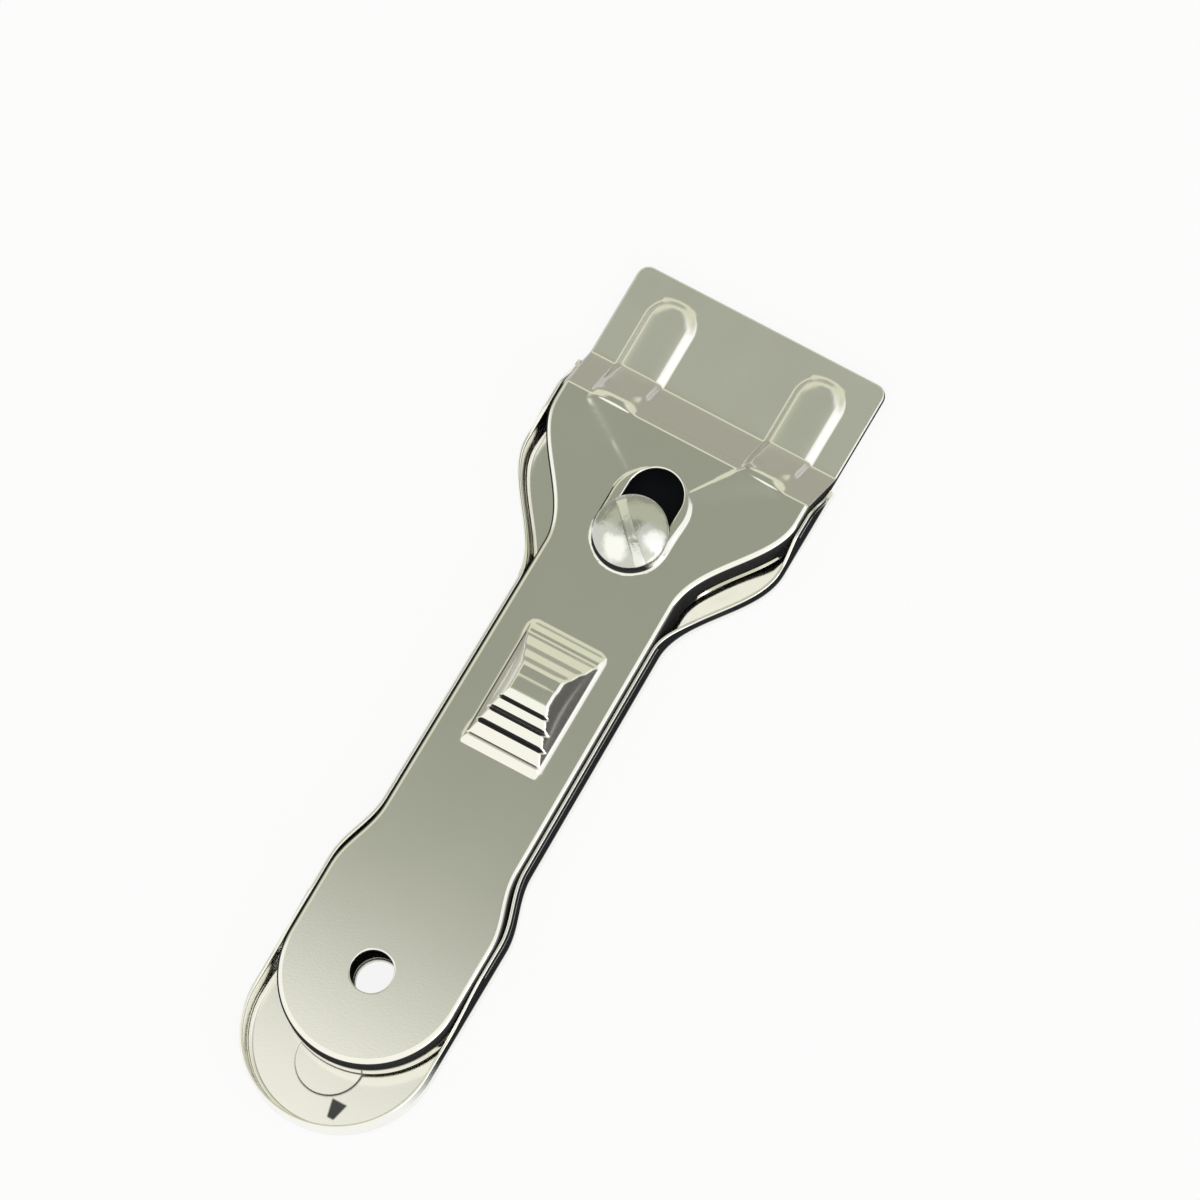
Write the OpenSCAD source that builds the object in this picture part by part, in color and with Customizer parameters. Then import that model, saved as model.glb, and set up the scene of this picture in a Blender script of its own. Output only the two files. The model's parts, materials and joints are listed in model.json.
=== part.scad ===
// Ceramic hob scraper with a sliding cover.
// Y runs from the tail (0) to the guard's front edge, Z is up, and X is across.
// The finished model is moved back so that its origin is under the middle of its box.

/* [Overall] */
// Length from the tray's tail to the guard's front edge
tool_l = 146.7; // [135:0.1:165]
// Height of the cover's flat face above the tray's underside
stack_h = 6.6; // [6:0.1:9]
// Thickness of the pressed sheet of the cover and the tray
sheet_t = 0.6; // [0.5:0.05:0.7]
// How far the cover slides back to bare the blade
slide_travel = 7; // [5:0.1:8]
// Play between the cover's wall and the tray's rim
slide_gap = 0.35; // [0.3:0.05:0.6]

/* [Cover] */
// Outer width of the head and the guard
head_w = 45; // [44:0.1:50]
// Outer width of the handle where it meets the neck
handle_neck_w = 23.9; // [20:0.1:27]
// Outer width of the handle where it meets the tail
handle_tail_w = 24.7; // [20:0.1:27]
// Outer radius of the round tail
tail_r = 15.1; // [14:0.1:18]
// Length of the widening between the handle and the tail
tail_flare_l = 12.5; // [10:0.5:18]
// Distance from the hanging hole to that widening
tail_flare_start = 12; // [8:0.5:14]
// Length of the widening between the handle and the head
neck_l = 21; // [18:0.5:28]
// Distance from the end of the neck to the step's top edge
neck_to_step = 3.1; // [2:0.1:6]
// Outer radius of the rounding round the face
face_r = 0.95; // [0.8:0.05:1.2]
// Gap between the cover's wall edge and the tray's floor
wall_lift = 1; // [0.6:0.1:1.6]
// Radius of the hanging hole
hang_r = 3.5; // [2.5:0.1:4]

/* [Guard] */
// Length of the flat guard over the blade
guard_l = 16.5; // [15.5:0.1:19]
// Length of the slope from the face down to the guard
step_l = 6.8; // [5:0.1:9]
// Gap between the blade and the guard
guard_gap = 0.3; // [0.3:0.05:0.6]
// Radius of the guard's front corners
guard_corner_r = 2; // [1:0.1:4]
// Distance between the middles of the two raised channels
channel_pitch = 27.2; // [24:0.1:30]
// Width of a raised channel at its foot
channel_w = 8.6; // [7.5:0.1:10]
// Height of a raised channel
channel_h = 0.8; // [0.7:0.05:1.2]
// How far a channel's sides lean in over its height
channel_draft = 1.1; // [0.6:0.1:1.4]
// Distance from the guard's front edge to a channel's foot
channel_front = 2.9; // [2:0.1:3.5]

/* [Slot] */
// Distance from the step's top edge back to the screw
screw_back = 16.9; // [15:0.1:20]
// Width of the slot
slot_w = 9.2; // [8.8:0.1:9.8]
// Width of the raised pad round the slot
pad_w = 13; // [12:0.1:15]
// Height of the raised pad and its two ribs
pad_h = 0.5; // [0.3:0.05:0.8]
// Width of a rib at the step
rib_w = 8.8; // [8.7:0.1:10]
// Length of a rib, from the step to the pad
rib_l = 7.8; // [6:0.1:9]

/* [Thumb grip] */
// Distance from the screw back to the middle of the grip's foot
grip_back = 30.2; // [26:0.1:40]
// Length of the grip's foot
grip_l = 22.4; // [18:0.1:26]
// Width of the grip's foot
grip_w = 15.4; // [12:0.1:17]
// Height of the grip above the face
grip_h = 3.6; // [2.5:0.1:4.5]
// Length of the grip's flat top
grip_top_l = 4.6; // [3:0.1:7]
// Width of the grip's flat top
grip_top_w = 6.4; // [5:0.1:8]
// Distance of the flat top ahead of the foot's middle
grip_top_ahead = 1.1; // [0:0.1:2]
// Number of steps on each slope of the grip
grip_steps = 4; // [3:1:5]

/* [Tray] */
// Height of the tray's rim above its underside
rim_h = 5; // [4:0.1:6]
// Outer radius of the rounding between the floor and the rim
tray_r = 1.5; // [1:0.1:2]
// Free space left at the tail when the cover is right back
tail_free = 3.05; // [1:0.05:6]
// How much sooner the tray widens to its tail than the cover does
flare_lead = 1.2; // [0.8:0.1:2]
// How much sooner the tray widens to its head than the drawn-back cover does
neck_lead = 0.6; // [0.4:0.1:1]
// Distance from the tray's wing ends to the guard's bend
wing_back = 2.1; // [1:0.1:4]
// How far the blade stands out past the blade bed
blade_overhang = 3.4; // [2:0.1:4]
// Radius of the bed's front corners
bed_corner_r = 2; // [1:0.1:4]

/* [Blade] */
// Width of the blade
blade_w = 43; // [40:0.1:43.2]
// Length of the blade, from its back to its edge
blade_l = 22; // [20:0.1:24]
// Thickness of the blade
blade_t = 0.2; // [0.15:0.05:0.4]
// How far the guard covers the blade's edge
edge_cover = 1; // [0.6:0.1:2]
// Width of the ground bevel along the blade's edge
bevel_l = 1.6; // [1:0.1:2.5]
// Distance from the blade's edge back to its two holes
stud_back = 13.6; // [13:0.1:15]
// Radius of the studs that hold the blade
stud_r = 1.9; // [1.5:0.05:2.2]
// Height of the studs above the blade
stud_h = 0.6; // [0.4:0.05:0.8]

/* [Screw] */
// Diameter of the screw's thread
thread_d = 4; // [3:0.5:5]
// Diameter of the screw's head
head_d = 12; // [10.5:0.1:12.8]
// Height of the straight edge of the screw's head
head_edge_h = 0.7; // [0.4:0.1:1.2]
// Height of the dome above that edge
head_dome_h = 2; // [1:0.1:3]
// Width of the driver slot
driver_w = 1.7; // [1.2:0.1:2]
// Depth of the driver slot
driver_depth = 1.4; // [0.8:0.1:1.8]
// Turn of the driver slot at rest
driver_turn = -44; // [-90:1:90]
// Diameter of the washer
washer_d = 11; // [10.4:0.1:12]
// Thickness of the washer
washer_t = 0.5; // [0.4:0.1:0.8]
// Diameter of the bush's neck, which the slot slides along
bush_neck_d = 8.4; // [7:0.1:8.6]
// Diameter of the bush's flange
bush_flange_d = 10.4; // [9.5:0.1:11]
// Thickness of the bush's flange
bush_flange_t = 0.8; // [0.6:0.1:1.2]
// Diameter of the bush's riveted foot
bush_foot_d = 6; // [5.4:0.1:6.6]

/* [Slide spring] */
// Width of the spring strip
spring_w = 11; // [9:0.1:12]
// Thickness of the spring strip
spring_t = 0.6; // [0.4:0.05:0.8]
// Distance from the tray's tail to the strip's round end
spring_tail = 6.1; // [4:0.1:9]
// Length of the strip's slow rise
spring_rise_l = 39; // [28:0.5:40]
// Length of the strip's steep fall
spring_fall_l = 10; // [8:0.5:14]
// Distance from the bush to the strip's bend onto the floor
spring_foot_l = 5.8; // [5.6:0.1:8]
// Gap between the top of the bow and the cover
spring_gap = 0.3; // [0.3:0.05:0.6]
// Distance from the hanging hole to the strip's rivet
rivet_ahead = 18; // [12:0.5:20]
// Diameter of the rivet's shank
rivet_d = 3; // [2:0.1:4]
// Diameter of the rivet's head
rivet_head_d = 5.2; // [4.4:0.1:6]
// Height of the rivet's head
rivet_head_h = 0.8; // [0.5:0.1:1.2]

/* [Fits] */
// Play all round a fixed foot or shank in its hole
fix_play = 0.03; // [0.02:0.01:0.1]
// Play between the thread and its bush, and between the screw and the washer
turn_play = 0.05; // [0.03:0.01:0.1]
// Gap between the pad, the washer and the screw's head
stack_gap = 0.05; // [0.03:0.01:0.1]
// Play between a stud and the blade's hole
blade_play = 0.25; // [0.15:0.05:0.4]
// Play between the blade bed and the inside of the guard
bed_play = 0.6; // [0.4:0.1:1]
// Gap between the guard's folded sides and the tray's floor
fold_gap = 0.35; // [0.3:0.05:0.5]

/* [Hidden] */

$fn = 64;
nickel = [0.66, 0.65, 0.58];
bright = [0.8, 0.8, 0.78];
blade_grey = [0.7, 0.71, 0.7];

// Small overlap that keeps cuts from ending on a face
cut = 0.5;
// Points along a quarter round, a widening, and a small rounding
arc_n = 12;
flare_n = 9;
corner_n = 4;
fillet_n = 3;

// Heights
floor_z = sheet_t;
face_z = stack_h;
guard_z = floor_z + blade_t + guard_gap + sheet_t;
wall_z = floor_z + wall_lift;
fold_z = floor_z + fold_gap;
pad_z = face_z + pad_h;
washer_z = pad_z + stack_gap;
screw_z = washer_z + washer_t + stack_gap;
bush_top_z = pad_z - 2 * stack_gap;

// Places along Y
rim_step = slide_gap + sheet_t;
tray_tail_r = tail_r + rim_step;
hang_y = tray_tail_r + slide_travel + tail_free;
bend_y = tool_l - guard_l;
step_y = bend_y - step_l;
screw_y = step_y - screw_back;
neck_end_y = step_y - neck_to_step;
grip_y = screw_y - grip_back;
wing_end_y = bend_y - wing_back;
blade_y = tool_l - edge_cover;
bed_end_y = blade_y - blade_overhang;
stud_y = blade_y - stud_back;
spring_front_y = screw_y + spring_w / 2;
spring_foot_y = screw_y - spring_foot_l;
spring_top_y = spring_foot_y - spring_fall_l;
spring_bow_y = spring_top_y - spring_rise_l;
rivet_y = hang_y + rivet_ahead;

bed_w = head_w - 2 * sheet_t - 2 * bed_play;
step_turn = atan((face_z - guard_z) / step_l);
step_slant = norm([step_l, face_z - guard_z]);
channel_r = channel_w / 2;
stud_hole_r = stud_r + blade_play;
spigot_r = stud_r * 0.7;
bow_h = face_z - sheet_t - spring_gap - spring_t - floor_z;
dome_r = (pow(head_d / 2, 2) + pow(head_dome_h, 2)) / (2 * head_dome_h);

// Eased value from 0 to 1
function ease(s) = (1 - cos(180 * s)) / 2;

// Right half of an outline, from the tail's end to the front edge.
// It has a round tail, a widening, a handle, a neck and straight head sides.
function half_outline(tail_y, radius, flare_y, tail_hw, neck_y, neck_hw, head_hw, front_y, corner) =
    concat(
        [for (i = [0 : arc_n])
            [radius * sin(90 * i / arc_n), tail_y - radius * cos(90 * i / arc_n)]],
        [for (i = [0 : flare_n])
            [radius + (tail_hw - radius) * ease(i / flare_n), flare_y + tail_flare_l * i / flare_n]],
        [for (i = [0 : flare_n])
            [neck_hw + (head_hw - neck_hw) * ease(i / flare_n), neck_y + neck_l * i / flare_n]],
        [for (i = [0 : corner_n])
            [head_hw - corner + corner * cos(90 * i / corner_n),
             front_y - corner + corner * sin(90 * i / corner_n)]]
    );

// Whole outline: the right half, and the left half mirrored back to the tail
function outline(half) =
    concat(half, [for (i = [len(half) - 1 : -1 : 1]) [-half[i][0], half[i][1]]]);

function cover_half(front_y, corner) =
    half_outline(hang_y, tail_r, hang_y + tail_flare_start, handle_tail_w / 2,
        neck_end_y - neck_l, handle_neck_w / 2, head_w / 2, front_y, corner);

function tray_half(front_y) =
    half_outline(tray_tail_r, tray_tail_r, hang_y + tail_flare_start + flare_lead,
        handle_tail_w / 2 + rim_step, neck_end_y - neck_l - slide_travel - neck_lead,
        handle_neck_w / 2 + rim_step, head_w / 2 + rim_step, front_y, 2 * tray_r);

// Right half of a slot shape with round ends about y0 and y1
function half_stadium(r, y0, y1) =
    concat(
        [for (i = [0 : arc_n]) [r * sin(90 * i / arc_n), y0 - r * cos(90 * i / arc_n)]],
        [for (i = [0 : arc_n]) let (a = 90 * i / (arc_n + 0.5)) [r * cos(a), y1 + r * sin(a)]]
    );

function unit(v) = v / norm(v);
function right_of(v) = [v[1], -v[0]];

// A closed outline moved inwards by d, each corner along its bisector
function inset(pts, d) =
    [for (i = [0 : len(pts) - 1])
        let (
            a = pts[(i + len(pts) - 1) % len(pts)],
            b = pts[i],
            c = pts[(i + 1) % len(pts)],
            n1 = right_of(unit(b - a)),
            n2 = right_of(unit(c - b)),
            m = unit(n1 + n2)
        )
        b - m * d / (m * n1)];

// A solid through rings of one outline; each level is [inset, height], lowest first.
// Its two ends are strips across from the right half to the left half.
module ringed(half, levels) {
    pts = outline(half);
    n = len(pts);
    rings = [for (l = levels) for (p = inset(pts, l[0])) [p[0], p[1], l[1]]];
    sides = [for (j = [0 : len(levels) - 2]) for (i = [0 : n - 1])
        let (a = j * n + i, b = j * n + (i + 1) % n)
        for (f = [[a, a + n, b + n], [a, b + n, b]]) f];
    strips = concat(
        [[0, 1, n - 1]],
        [for (i = [1 : len(half) - 2]) [i, i + 1, n - i - 1, n - i]]
    );
    top = (len(levels) - 1) * n;
    lids = [for (f = strips) [for (k = [len(f) - 1 : -1 : 0]) top + f[k]]];
    polyhedron(points = rings, faces = concat(strips, sides, lids));
}

// Levels of a rounding at the top of a wall: inner edge d, radius r, top z
function top_levels(d, r, z) =
    [for (k = [0 : fillet_n]) [d + r * (1 - cos(90 * k / fillet_n)), z - r + r * sin(90 * k / fillet_n)]];

// Levels of a rounding at the foot of a wall: outer edge d, radius r, lowest z
function foot_levels(d, r, z) =
    [for (k = [0 : fillet_n]) [d + r * (1 - sin(90 * k / fillet_n)), z + r * (1 - cos(90 * k / fillet_n))]];

// A side view, drawn in Y and Z, made into a bar as wide as w
module side_bar(w, pts) {
    rotate([90, 0, 90])
        linear_extrude(w, center = true)
            polygon(pts);
}

// Everything under the face, the step and the guard, drawn in by d
module under_face(d) {
    bend = d * tan(step_turn / 2);
    side_bar(head_w + 2 * cut, [
        [-cut, -cut],
        [tool_l + cut, -cut],
        [tool_l + cut, guard_z - d],
        [bend_y - bend, guard_z - d],
        [bend_y - bend - 2 * step_l, guard_z - d + 2 * (face_z - guard_z)],
        [-cut, guard_z - d + 2 * (face_z - guard_z)]
    ]);
}

module cover_outside() {
    intersection() {
        ringed(cover_half(tool_l, guard_corner_r), concat([[0, fold_z]], top_levels(0, face_r, face_z)));
        under_face(0);
    }
}

module cover_inside() {
    levels = concat([[sheet_t, fold_z - cut]], top_levels(sheet_t, face_r - sheet_t, face_z - sheet_t));
    intersection() {
        ringed(cover_half(tool_l + 2 * cut, sheet_t * 2), levels);
        under_face(sheet_t);
    }
}

// One channel of half width r and height h, sunk by drop, that runs on up the step
module channel(r, h, draft, drop, over) {
    z = guard_z - drop;
    front = tool_l - channel_front - channel_r;
    low = -sheet_t / 2;
    ringed(half_stadium(r, bend_y, front), [[0, z + low], [0, z], [draft, z + h]]);
    translate([0, bend_y, z])
        rotate([90 - step_turn, 0, 0])
            linear_extrude(step_slant + over)
                polygon([[-r, low], [r, low], [r, 0], [r - draft, h], [draft - r, h], [-r, 0]]);
}

module both_sides() {
    for (side = [-1, 1])
        translate([side * channel_pitch / 2, 0, 0])
            children();
}

// Raised pad round the slot
module pad() {
    translate([0, 0, face_z - sheet_t / 2]) {
        for (y = [screw_y, screw_y + slide_travel])
            translate([0, y, 0])
                cylinder(d = pad_w, h = pad_h + sheet_t / 2);
        translate([-pad_w / 2, screw_y, 0])
            cube([pad_w, slide_travel, pad_h + sheet_t / 2]);
    }
}

// Rib from one channel back to the pad, on the side of the sign
module rib(side) {
    mid = side * channel_pitch / 2;
    hw = side * rib_w / 2;
    translate([0, 0, face_z - sheet_t / 2])
        linear_extrude(pad_h + sheet_t / 2)
            polygon([
                [mid + hw, step_y + cut],
                [mid - hw, step_y + cut],
                [side * pad_w / 4, step_y - rib_l],
                [side * pad_w / 2, step_y - rib_l]
            ]);
}

// Stepped side view of the thumb grip, seen from the side
function grip_slope(y0, y1, z) =
    [for (i = [0 : grip_steps - 1]) for (p = [
        [y0 + (y1 - y0) * (i + 0.15) / grip_steps, z + grip_h * i / grip_steps],
        [y0 + (y1 - y0) * (i + 0.35) / grip_steps, z + grip_h * (i + 0.8) / grip_steps]
    ]) p];

module grip_block(shrink, drop) {
    z = face_z - drop;
    hw = grip_w / 2 - shrink;
    hl = grip_l / 2 - shrink;
    top_hw = grip_top_w / 2 - shrink / 2;
    top_hl = grip_top_l / 2;
    low = -sheet_t / 2;
    rear = grip_y + grip_top_ahead - top_hl;
    ahead = grip_y + grip_top_ahead + top_hl;
    polyhedron(
        points = [
            [-hw, grip_y - hl, z + low], [hw, grip_y - hl, z + low],
            [hw, grip_y + hl, z + low], [-hw, grip_y + hl, z + low],
            [-hw, grip_y - hl, z], [hw, grip_y - hl, z],
            [hw, grip_y + hl, z], [-hw, grip_y + hl, z],
            [-top_hw, rear, z + grip_h], [top_hw, rear, z + grip_h],
            [top_hw, ahead, z + grip_h], [-top_hw, ahead, z + grip_h]
        ],
        faces = [
            [0, 1, 2, 3],
            [0, 4, 5, 1], [1, 5, 6, 2], [2, 6, 7, 3], [3, 7, 4, 0],
            [4, 8, 9, 5], [5, 9, 10, 6], [6, 10, 11, 7], [7, 11, 8, 4],
            [11, 10, 9, 8]
        ]
    );
}

module grip_outside() {
    rear = grip_y + grip_top_ahead - grip_top_l / 2;
    ahead = grip_y + grip_top_ahead + grip_top_l / 2;
    intersection() {
        grip_block(0, 0);
        side_bar(grip_w + cut, concat(
            [[grip_y - grip_l / 2, face_z - sheet_t]],
            grip_slope(grip_y - grip_l / 2, rear, face_z),
            [[rear, face_z + grip_h], [ahead, face_z + grip_h]],
            [for (i = [2 * grip_steps - 1 : -1 : 0]) grip_slope(grip_y + grip_l / 2, ahead, face_z)[i]],
            [[grip_y + grip_l / 2, face_z - sheet_t]]
        ));
    }
}

// Opening through the face that the bush's neck slides along
module slot_cut() {
    h = sheet_t + pad_h + 2 * cut;
    translate([0, 0, face_z - sheet_t - cut]) {
        for (y = [screw_y, screw_y + slide_travel])
            translate([0, y, 0])
                cylinder(d = slot_w, h = h);
        translate([-slot_w / 2, screw_y, 0])
            cube([slot_w, slide_travel, h]);
    }
}

module hang_cut(r, z, h) {
    translate([0, hang_y, z - cut])
        cylinder(r = r, h = h + 2 * cut);
}

module front_cover() {
    color(nickel)
    difference() {
        union() {
            difference() {
                union() {
                    cover_outside();
                    intersection() {
                        both_sides()
                            channel(channel_r, channel_h, channel_draft, 0, cut);
                        translate([-head_w, 0, 0])
                            cube([2 * head_w, tool_l, pad_z]);
                    }
                }
                cover_inside();
                both_sides()
                    channel(channel_r - sheet_t / 2, channel_h, channel_draft, sheet_t, 0);
            }
            pad();
            rib(-1);
            rib(1);
            grip_outside();
        }
        grip_block(1.5 * sheet_t, 1.2 * sheet_t);
        slot_cut();
        hang_cut(hang_r, face_z - sheet_t, sheet_t);
        // The wall stops short of the tray's floor, behind the step
        translate([-head_w, -cut, fold_z - cut])
            cube([2 * head_w, step_y + cut, wall_z - fold_z + cut]);
    }
}

module tray_shell() {
    half = tray_half(wing_end_y + 4 * tray_r);
    difference() {
        ringed(half, concat(foot_levels(0, tray_r, 0), [[0, rim_h]]));
        ringed(half, concat(foot_levels(sheet_t, tray_r - sheet_t, sheet_t), [[sheet_t, rim_h + cut]]));
        translate([-head_w, wing_end_y, -cut])
            cube([2 * head_w, 6 * tray_r, rim_h + 2 * cut]);
    }
}

// Flat bed under the blade
module blade_bed() {
    back = wing_end_y - 2 * tray_r;
    r = bed_corner_r;
    translate([-bed_w / 2, back, 0])
        cube([bed_w, bed_end_y - back - r, sheet_t]);
    translate([r - bed_w / 2, bed_end_y - 2 * r, 0])
        cube([bed_w - 2 * r, 2 * r, sheet_t]);
    for (side = [-1, 1])
        translate([side * (bed_w / 2 - r), bed_end_y - r, 0])
            cylinder(r = r, h = sheet_t);
}

module rear_tray() {
    color(nickel)
    difference() {
        union() {
            tray_shell();
            blade_bed();
        }
        hang_cut(hang_r, 0, sheet_t);
        translate([0, screw_y, -cut])
            cylinder(d = bush_foot_d + 2 * fix_play, h = sheet_t + 2 * cut);
        translate([0, rivet_y, -cut])
            cylinder(d = rivet_d + 2 * fix_play, h = sheet_t + 2 * cut);
        both_sides()
            translate([0, stud_y, -cut])
                cylinder(r = spigot_r + fix_play, h = sheet_t + 2 * cut);
    }
}

// Height of the strip's underside above the floor at place y
function bow(y) =
    y < spring_bow_y ? 0 :
    y < spring_top_y ? bow_h * ease((y - spring_bow_y) / spring_rise_l) :
    y < spring_foot_y ? bow_h * ease((spring_foot_y - y) / spring_fall_l) : 0;

module slide_spring() {
    ys = concat(
        [spring_tail],
        [for (i = [0 : flare_n]) spring_bow_y + spring_rise_l * i / flare_n],
        [for (i = [1 : flare_n]) spring_top_y + spring_fall_l * i / flare_n],
        [spring_front_y]
    );
    n = len(ys);
    r = spring_w / 2;
    color(bright)
    difference() {
        intersection() {
            side_bar(spring_w + cut, concat(
                [for (y = ys) [y, floor_z + bow(y)]],
                [for (i = [n - 1 : -1 : 0]) [ys[i], floor_z + bow(ys[i]) + spring_t]]
            ));
            union() {
                for (y = [spring_tail + r, spring_front_y - r])
                    translate([0, y, floor_z - cut])
                        cylinder(r = r, h = stack_h);
                translate([-r, spring_tail + r, floor_z - cut])
                    cube([spring_w, spring_front_y - spring_tail - spring_w, stack_h]);
            }
        }
        hang_cut(hang_r + slide_gap, floor_z, spring_t);
        translate([0, screw_y, floor_z - cut])
            cylinder(d = bush_foot_d + 2 * fix_play, h = spring_t + 2 * cut);
        translate([0, rivet_y, floor_z - cut])
            cylinder(d = rivet_d + 2 * fix_play, h = spring_t + 2 * cut);
    }
}

module spring_rivet() {
    color(bright)
    translate([0, rivet_y, 0]) {
        cylinder(d = rivet_d, h = floor_z + spring_t);
        translate([0, 0, floor_z + spring_t])
            cylinder(d = rivet_head_d, h = rivet_head_h);
    }
}

module threaded_bush() {
    foot_h = floor_z + spring_t;
    color(bright)
    translate([0, screw_y, 0])
    difference() {
        union() {
            cylinder(d = bush_foot_d, h = foot_h);
            translate([0, 0, foot_h])
                cylinder(d = bush_flange_d, h = bush_flange_t);
            translate([0, 0, foot_h])
                cylinder(d = bush_neck_d, h = bush_top_z - foot_h);
        }
        translate([0, 0, -cut])
            cylinder(d = thread_d + 2 * turn_play, h = stack_h + 2 * cut + pad_h);
    }
}

module blade() {
    color(blade_grey)
    difference() {
        side_bar(blade_w, [
            [blade_y - blade_l, floor_z],
            [blade_y, floor_z],
            [blade_y, floor_z + blade_t / 5],
            [blade_y - bevel_l, floor_z + blade_t],
            [blade_y - blade_l, floor_z + blade_t]
        ]);
        both_sides()
            translate([0, stud_y, floor_z - cut])
                cylinder(r = stud_hole_r, h = blade_t + 2 * cut);
    }
}

module blade_studs() {
    color(bright)
    both_sides()
        translate([0, stud_y, 0]) {
            cylinder(r = spigot_r, h = floor_z);
            translate([0, 0, floor_z])
                cylinder(r = stud_r, h = blade_t + stud_h);
        }
}

module washer() {
    color(bright)
    translate([0, screw_y, washer_z])
    difference() {
        cylinder(d = washer_d, h = washer_t);
        translate([0, 0, -cut])
            cylinder(d = thread_d + 2 * turn_play, h = washer_t + 2 * cut);
    }
}

module clamp_screw() {
    top = head_edge_h + head_dome_h;
    color(bright)
    translate([0, screw_y, screw_z]) {
        translate([0, 0, floor_z - screw_z])
            cylinder(d = thread_d, h = screw_z - floor_z + head_edge_h);
        difference() {
            union() {
                cylinder(d = head_d, h = head_edge_h);
                intersection() {
                    translate([0, 0, top - dome_r])
                        sphere(r = dome_r);
                    cylinder(d = head_d, h = top);
                }
            }
            rotate([0, 0, driver_turn])
                translate([-head_d, -driver_w / 2, top - driver_depth])
                    cube([2 * head_d, driver_w, driver_depth + cut]);
        }
    }
}

// Moves a piece from the tail's place to the middle of the finished box
module centred() {
    translate([0, -tool_l / 2, 0])
        children();
}

centred() front_cover();
centred() rear_tray();
centred() slide_spring();
centred() spring_rivet();
centred() threaded_bush();
centred() blade();
centred() blade_studs();
centred() washer();
centred() clamp_screw();
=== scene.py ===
import json
import math

import bmesh
import bpy
import numpy as np
from mathutils import Matrix, Vector


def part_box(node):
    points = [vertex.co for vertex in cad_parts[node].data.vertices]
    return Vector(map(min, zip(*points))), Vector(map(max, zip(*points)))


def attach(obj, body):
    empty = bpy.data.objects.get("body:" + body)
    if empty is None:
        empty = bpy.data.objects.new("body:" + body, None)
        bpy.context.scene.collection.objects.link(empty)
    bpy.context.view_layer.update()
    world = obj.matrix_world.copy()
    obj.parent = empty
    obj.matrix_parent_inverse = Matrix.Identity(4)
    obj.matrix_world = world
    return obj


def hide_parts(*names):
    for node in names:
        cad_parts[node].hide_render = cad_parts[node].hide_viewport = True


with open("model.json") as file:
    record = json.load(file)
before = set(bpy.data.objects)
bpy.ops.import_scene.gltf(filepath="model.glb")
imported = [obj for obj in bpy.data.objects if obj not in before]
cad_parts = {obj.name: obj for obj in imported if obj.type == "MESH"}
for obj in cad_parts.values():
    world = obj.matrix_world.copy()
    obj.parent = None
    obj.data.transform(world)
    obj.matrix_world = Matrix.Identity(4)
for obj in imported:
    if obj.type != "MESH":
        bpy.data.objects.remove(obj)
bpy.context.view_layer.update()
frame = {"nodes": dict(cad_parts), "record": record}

# Sizes are in millimetres, and places along the tool run from the tray's tail.
MM = 0.001


def box_mm(node):
    """Lowest and highest corner of a CAD node, in millimetres."""
    return [[value / MM for value in corner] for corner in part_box(node)]


cover_low, cover_high = box_mm("front_cover")
tray_low, tray_high = box_mm("rear_tray")
washer_low, washer_high = box_mm("washer")
screw_low, screw_high = box_mm("clamp_screw")
mounts = {mount["name"]: mount for mount in frame["record"]["mounts"]}

TAIL = tray_low[1]
TOOL_L = cover_high[1] - TAIL
SHEET = 0.6

# Heights, and how far up from its end a wall leans
FACE_Z = 6.6
GUARD_Z = 1.7
RIM_Z = tray_high[2]
PAD_H = 0.5
CHANNEL_H = 0.8
RIB_H = 0.22
WALL_Z = 1.6
FOLD_Z = cover_low[2]
LEAN_H = 2.2

# Places along the tool
HANG_Y = mounts["hang_hole"]["pos_m"][1] / MM - TAIL
SCREW_Y = (washer_low[1] + washer_high[1]) / 2 - TAIL
BEND_Y = 130.2
STEP_Y = 123.4
WING_END_Y = 128.1
BED_END_Y = tray_high[1] - TAIL
TRAVEL = 7.0

# Half widths and radii
HEAD_W = cover_high[0]
TRAY_W = tray_high[0]
BED_W = 21.3
HANG_R = 3.5
SLOT_R = 4.6
CHANNEL_X = 13.6

# Distances from an outline to where its edge starts to round over
COVER_INSET = 1.0
TRAY_INSET = 1.55

# The driver slot of the screw, its turn in degrees
DRIVER_TURN = -44.0
DRIVER_W = 1.7
DRIVER_DEPTH = 1.4


def ease(s):
    """An even S from 0 to 1, as half a cosine wave."""
    return (1 - np.cos(np.pi * np.clip(s, 0, 1))) / 2


def smooth(value, low, high):
    """0 below low, 1 above high, and an even S between them."""
    s = np.clip((value - low) / (high - low), 0, 1)
    return s * s * (3 - 2 * s)


def soft_min(a, b, k):
    """The lesser of two values, rounded over where they are less than k apart."""
    h = np.clip(0.5 + 0.5 * (b - a) / k, 0, 1)
    return b + (a - b) * h - k * h * (1 - h)


def soft_max(a, b, k):
    """The greater of two values, rounded in where they are less than k apart."""
    return -soft_min(-a, -b, k)


def ramp(distance, width, foot=0.06, top=0.3):
    """Rises from 0 to 1 over width, with a tight foot and a rounder top."""
    return soft_min(1.0, soft_max(0.0, distance / width, foot), top)


def spread(*stretches):
    """Places from a list of (first, last, spacing) stretches."""
    places = []
    for first, last, spacing in stretches:
        count = max(1, round((last - first) / spacing))
        places += [first + (last - first) * k / count for k in range(count)]
    return places + [stretches[-1][1]]


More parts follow.
